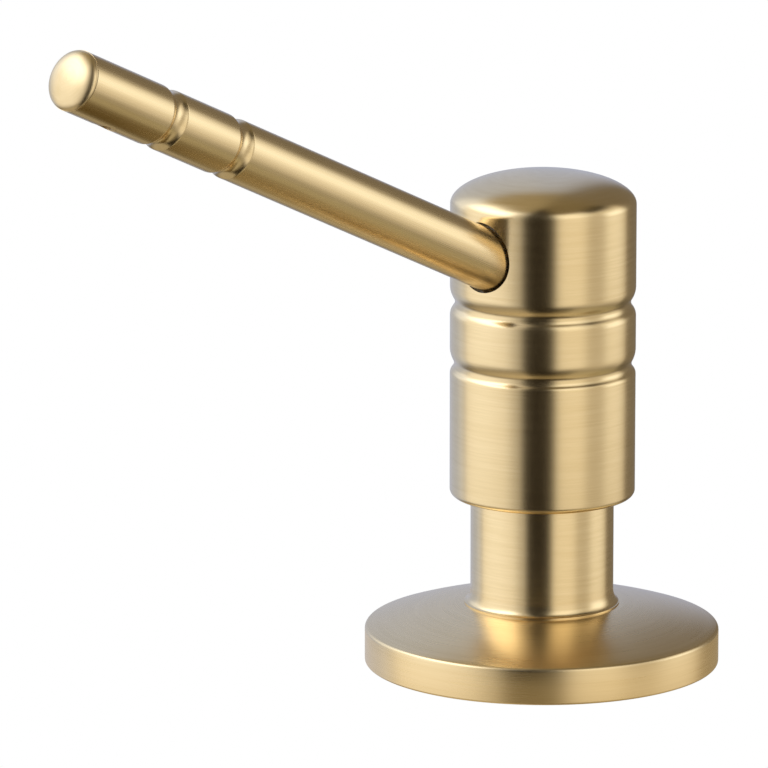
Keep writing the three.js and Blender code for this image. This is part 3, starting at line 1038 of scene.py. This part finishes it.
@dataclass
class ReturnSpring:
    """The coil spring under the piston, wound to the height of its CAD node; it is not made to
    shorten as the head is pressed.

    Attributes:
        wire: The wire's diameter.
        turns: The number of open turns between the two closed end turns.
        closed_pitch: The rise of an end turn, in wire diameters.
        stroke: How far the piston comes down; not used.
        steps: How many straight pieces one turn has.
    """

    wire: float = 0.9
    turns: float = 4.5
    closed_pitch: float = 1.08
    stroke: float = 13.0
    steps: int = 48

    def coil(self) -> bpy.types.Object:
        """Winds the spring."""
        low, high = millimetres("return_spring")
        end_rise = self.wire * self.closed_pitch
        rise = high.z - low.z - self.wire - 2 * end_rise
        shape = bmesh.new()
        start = Vector((high.x - self.wire / 2, 0, low.z + self.wire / 2)) * MM
        bmesh.ops.create_circle(
            shape,
            cap_ends=False,
            segments=16,
            radius=self.wire / 2 * MM,
            matrix=Matrix.Translation(start) @ Matrix.Rotation(math.pi / 2, 4, "X"),
        )
        section = [*shape.verts, *shape.edges]
        for turns, climb in ((1.0, end_rise), (self.turns, rise), (1.0, end_rise)):
            steps = round(turns * self.steps)
            wound = bmesh.ops.spin(
                shape,
                geom=section,
                cent=(0, 0, 0),
                axis=(0, 0, 1),
                dvec=(0, 0, climb * MM / steps),
                angle=turns * math.tau,
                steps=steps,
            )
            section = wound["geom_last"]
        bmesh.ops.holes_fill(shape, edges=shape.edges, sides=0)
        bmesh.ops.recalc_face_normals(shape, faces=shape.faces)
        return Workshop.piece("spring", shape)

    def build(self) -> None:
        """Builds and dresses the spring."""
        spring = self.coil()
        dress(spring, SPRING_STEEL.material(), "cartridge", "stainless_steel", "return_spring")
        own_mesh(spring)


@dataclass
class InnerWorks:
    """The pieces inside, which keep their CAD shapes and get their finishes here."""

    def build(self) -> None:
        """Dresses every CAD node that is still shown."""
        finishes = {
            "white_plastic": Moulding("acetal", (0.86, 0.85, 0.82), (0.8, 0.79, 0.75), 0.42),
            "natural_plastic": Moulding(
                "polypropylene", (0.8, 0.83, 0.83), (0.72, 0.76, 0.76), 0.3
            ),
            "black_rubber": Moulding("rubber", (0.035, 0.035, 0.038), (0.02, 0.02, 0.022), 0.62),
            "stainless_steel": Moulding(
                "steel", (0.62, 0.63, 0.64), (0.5, 0.51, 0.52), 0.3, metal=1.0
            ),
        }
        materials = {slot: finish.material() for slot, finish in finishes.items()}
        slots = {row["node"]: row["material_slot"] for row in frame["record"]["subparts"]}
        for name, node in frame["nodes"].items():
            if not node.hide_render and slots[name] in materials:
                node.data.materials.clear()
                node.data.materials.append(materials[slots[name]])


# ---------------------------------------------------------------- studio


@dataclass(frozen=True)
class Panel:
    """A soft light panel far from the object.

    Attributes:
        left: Its left edge, in degrees right of the camera's side.
        right: Its right edge.
        low: Its lower edge, in degrees above the horizon.
        high: Its upper edge.
        colour: Its colour times its strength.
        edge: Half the width of its soft edges, in degrees.
        rise: Half the width of its soft top and bottom edges, in degrees.
    """

    left: float
    right: float
    low: float
    high: float
    colour: Colour
    edge: float = 5.0
    rise: float = 10.0


@dataclass
class Studio:
    """Camera, floor and soft light.

    Attributes:
        azimuth: The camera's side, in degrees.
        elevation: The camera's height, in degrees.
        distance: From the camera to what it looks at, in metres.
        aim: What the camera looks at, in metres.
        lens: The camera's focal length, in millimetres.
        panels: The soft light panels round the object, which add up.
        ambient: The faint light between the panels.
        glow: The colour of a warm glow painted onto the floor round the pump and seen only in
            reflections: a painted reflection in the flange.
        painted_glow_share: How strongly that painted glow shows in the flange.
        glow_reach: Where that fades out, from and to, in metres from the pump's axis.
    """

    azimuth: float = 42.5
    elevation: float = 12.92
    distance: float = 1.337
    aim: tuple[float, float, float] = (-0.0189, -0.0173, 0.0460)
    lens: float = 388.1
    panels: tuple[Panel, ...] = (
        Panel(-112, -27, -32, 62, (0.56, 0.54, 0.50), 4, 12),
        Panel(-124, -42, -30, 60, (0.42, 0.42, 0.43), 10, 12),
        Panel(-102, -62, -18, 54, (0.13, 0.16, 0.20), 14, 10),
        Panel(-120, -48, 27, 55, (1.10, 1.20, 1.40), 12, 8),
        Panel(-146, -110, 6, 50, (0.40, 0.43, 0.48), 9, 9),
        Panel(15, 70, -32, 55, (0.575, 0.53, 0.45), 5, 10),
        Panel(70, 122, -32, 40, (0.575, 0.53, 0.45), 5, 10),
        Panel(15, 54, -24, 50, (0.38, 0.37, 0.34), 8, 10),
        Panel(82, 114, -20, 32, (0.36, 0.37, 0.38), 9, 10),
        Panel(18, 66, 18, 50, (0.28, 0.31, 0.34), 10, 8),
        Panel(84, 116, -5, 22, (0.42, 0.48, 0.55), 8, 7),
        Panel(118, 170, -30, 56, (0.185, 0.16, 0.125), 8, 12),
        Panel(-180, -27, -90, -38, (0.44, 0.39, 0.29), 5, 12),
        Panel(20, 42, -90, -42, (0.20, 0.17, 0.11), 8, 12),
        Panel(42, 86, -90, -36, (0.46, 0.41, 0.29), 8, 12),
        Panel(86, 180, -52, -36, (0.40, 0.36, 0.24), 8, 8),
        Panel(86, 180, -90, -52, (0.08, 0.05, 0.01), 8, 8),
        Panel(-190, -112, 46, 90, (0.34, 0.29, 0.19), 6, 6),
        Panel(-112, -30, 62, 90, (0.35, 0.30, 0.20), 6, 12),
        Panel(16, 170, 56, 90, (0.20, 0.165, 0.10), 12, 12),
        Panel(-190, -118, -30, 46, (0.49, 0.56, 0.76), 10, 6),
        Panel(170, 190, -30, 46, (0.46, 0.54, 0.78), 6, 6),
        Panel(170, 190, 46, 90, (0.28, 0.24, 0.16), 6, 6),
    )
    ambient: Colour = (0.012, 0.008, 0.003)
    # Painted reflection: a warm glow painted on the floor round the pump, which only reflections in
    # the flange see.
    glow: Colour = (1.1, 0.88, 0.50)
    painted_glow_share: float = 0.2
    glow_reach: tuple[float, float] = (0.038, 0.058)

    def camera(self) -> None:
        """Places the camera."""
        turn, rise = math.radians(self.azimuth), math.radians(self.elevation)
        back = Vector(
            (math.sin(turn) * math.cos(rise), -math.cos(turn) * math.cos(rise), math.sin(rise))
        )
        data = bpy.data.cameras.new("camera")
        data.lens = self.lens
        data.sensor_width = 36
        data.clip_start = 0.05
        data.clip_end = 20
        camera = bpy.data.objects.new("camera", data)
        camera.location = Vector(self.aim) + back * self.distance
        camera.rotation_euler = back.to_track_quat("Z", "Y").to_euler()
        bpy.context.scene.collection.objects.link(camera)
        bpy.context.scene.camera = camera

    def floor(self) -> None:
        """Makes the plain pale floor, with a warm glow painted round the pump that only reflections
        see.
        """
        shape = bmesh.new()
        bmesh.ops.create_grid(shape, x_segments=1, y_segments=1, size=4)
        mesh = bpy.data.meshes.new("floor")
        shape.to_mesh(mesh)
        shape.free()
        floor = bpy.data.objects.new("floor", mesh)
        bpy.context.scene.collection.objects.link(floor)
        material = bpy.data.materials.new("floor")
        material.use_nodes = True
        board = NodeBoard(material.node_tree)
        shader = board.add(
            "ShaderNodeBsdfPrincipled",
            {},
            {"Base Color": (0.92, 0.92, 0.92, 1), "Roughness": 0.9, "Specular IOR Level": 0.0},
        )
        white = board.add("ShaderNodeEmission", {}, {"Color": (1, 1, 1, 1), "Strength": 1.0})
        # Painted reflection for the flange: glossy rays see a warm glow painted round the pump, and
        # pass through the floor elsewhere; the mix named polished carries this painted glow.
        x, y, _ = board.parts(board.add("ShaderNodeTexCoord", {}, {}, "Object"))
        near = ((x * x + y * y) ** 0.5).ramp(*self.glow_reach, 1.0, 0.0)
        glow = board.add("ShaderNodeEmission", {}, {"Color": opaque(self.glow), "Strength": 1.0})
        clear = board.add("ShaderNodeBsdfTransparent")
        polished = board.add("ShaderNodeMixShader", {}, {0: near * self.painted_glow_share, 1: clear, 2: glow})
        mirrored = board.add("ShaderNodeLightPath", {}, {}, "Is Glossy Ray")
        seen = board.add("ShaderNodeLightPath", {}, {}, "Is Camera Ray")
        both = board.add("ShaderNodeMixShader", {}, {0: mirrored, 1: shader, 2: polished})
        both = board.add("ShaderNodeMixShader", {}, {0: seen, 1: both, 2: white})
        board.add("ShaderNodeOutputMaterial", {}, {"Surface": both})
        mesh.materials.append(material)
        floor.visible_shadow = False

    def light(self) -> None:
        """Lights the scene with soft panels and a white surround."""
        world = bpy.data.worlds.new("studio")
        bpy.context.scene.world = world
        world.use_nodes = True
        board = NodeBoard(world.node_tree)
        direction = board.add("ShaderNodeTexCoord", {}, {}, "Generated")
        turned = board.add(
            "ShaderNodeVectorRotate",
            {"rotation_type": "Z_AXIS"},
            {"Vector": direction, "Angle": -math.radians(self.azimuth)},
        )
        x, y, z = board.parts(turned)
        side = x.arctan2(-y) * math.degrees(1)
        rise = z.arcsine() * math.degrees(1)
        light = opaque(self.ambient)
        for panel in self.panels:
            shape = side.window(panel.left, panel.right, panel.edge)
            shape = shape * rise.window(panel.low, panel.high, panel.rise)
            light = board.add(
                "ShaderNodeMix",
                {"data_type": "RGBA", "blend_type": "ADD"},
                {0: shape, 6: light, 7: opaque(panel.colour)},
                2,
            )
        seen = board.add("ShaderNodeLightPath", {}, {}, "Is Camera Ray")
        lamp = board.add("ShaderNodeBackground", {}, {"Color": light, "Strength": 1.0})
        white = board.add("ShaderNodeBackground", {}, {"Color": (1, 1, 1, 1), "Strength": 1.0})
        both = board.add("ShaderNodeMixShader", {}, {0: seen, 1: lamp, 2: white})
        board.add("ShaderNodeOutputWorld", {}, {"Surface": both})

    def build(self) -> None:
        """Sets the whole studio up."""
        self.camera()
        self.floor()
        self.light()
        bpy.context.scene.view_settings.view_transform = "Standard"


def main() -> None:
    """Builds the dispenser and the studio round it."""
    logging.basicConfig(level=logging.INFO, format="%(name)s: %(message)s")
    Studio().build()
    spout = Spout()
    DeckBase().build()
    PumpHead(spout).build()
    spout.build()
    ReturnSpring().build()
    InnerWorks().build()


if __name__ == "__main__":
    main()
